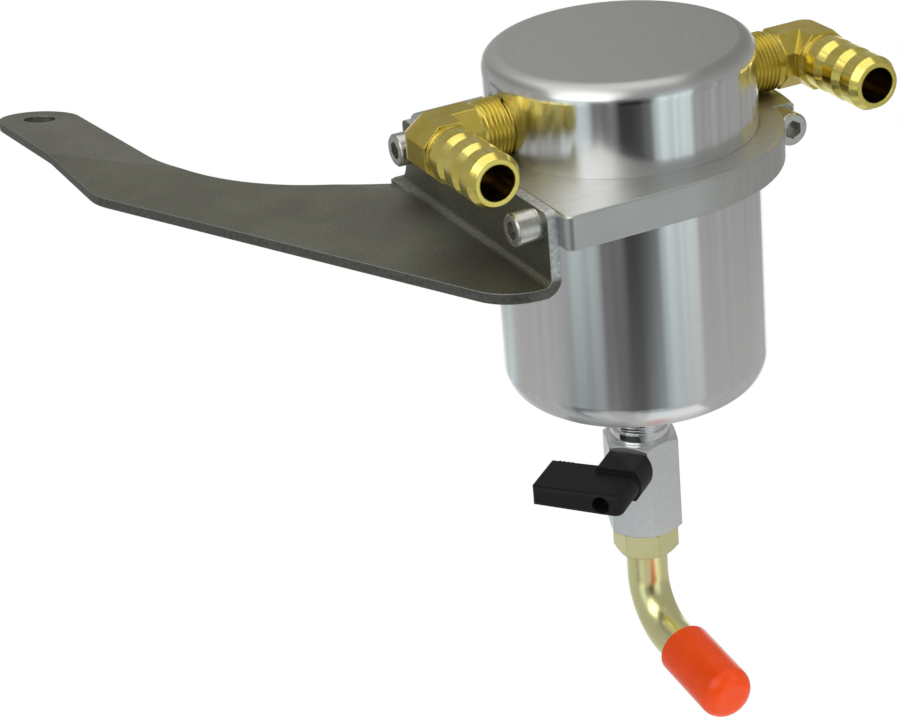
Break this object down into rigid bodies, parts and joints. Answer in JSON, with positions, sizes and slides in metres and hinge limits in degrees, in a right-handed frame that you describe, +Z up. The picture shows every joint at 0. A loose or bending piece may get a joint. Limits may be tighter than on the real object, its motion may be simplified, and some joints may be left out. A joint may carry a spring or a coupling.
{
  "type": "oil catch can",
  "caption": "Round oil catch can in a split clamp on a folded steel bracket, with brass hose elbows, an inner baffle and mesh, and a lever drain valve with a capped spout.",
  "frame": {"origin": "middle of the bracket's mounting hole, halfway through the sheet of the end tab", "axes": "+Z up along the can's axis, +Y from the can towards the bracket's end tab, +X from the bracket's flange towards the clamp's split"},
  "size_m": [0.1941, 0.2518, 0.1961],
  "materials": {
    "turned_aluminium": "bright turned",
    "machined_aluminium": "fine machined",
    "bare_steel": "dull rolled sheet",
    "screw_steel": "satin",
    "forged_brass": "bright forged and turned",
    "satin_chrome": "satin plated",
    "inner_brass": "turned",
    "seat_plastic": "moulded",
    "seal_rubber": "matte",
    "steel_mesh": "drawn wire",
    "black_plastic": "moulded",
    "yellow_zinc": "bright yellow zinc plate",
    "red_vinyl": "dip moulded"
  },
  "bodies": {
    "can": {"head": "turned_aluminium", "bowl": "turned_aluminium", "clamp": "machined_aluminium", "baffle": "machined_aluminium", "bracket": "bare_steel", "clamp_screw": "screw_steel", "clamp_washer": "screw_steel", "bracket_screw_front": "screw_steel", "bracket_screw_rear": "screw_steel", "bracket_washer_front": "screw_steel", "bracket_washer_rear": "screw_steel", "inlet_elbow": "forged_brass", "outlet_elbow": "forged_brass", "valve_body": "satin_chrome", "valve_retainer": "inner_brass", "seat_upper": "seat_plastic", "seat_lower": "seat_plastic", "body_seal": "seal_rubber", "mesh_pack": "steel_mesh", "mesh_screen": "steel_mesh", "screen_ring": "steel_mesh", "drain_spout": "yellow_zinc"},
    "lever": {"valve_lever": "black_plastic", "lever_screw": "screw_steel", "valve_stem": "inner_brass", "stem_seal": "seal_rubber", "valve_ball": "satin_chrome"},
    "cap": {"drain_cap": "red_vinyl"}
  },
  "joints": [
    {"name": "lever_turn", "type": "hinge", "parent": "can", "child": "lever", "pos_m": [0.11261, -0.18984, -0.07312], "axis": [-0.766, -0.6428, 0], "range_deg": [0, 90]},
    {"name": "cap_slide", "type": "slide", "parent": "can", "child": "cap", "axis": [-0.0174, -0.9944, -0.1045], "range_m": [0, 0.025]}
  ]
}
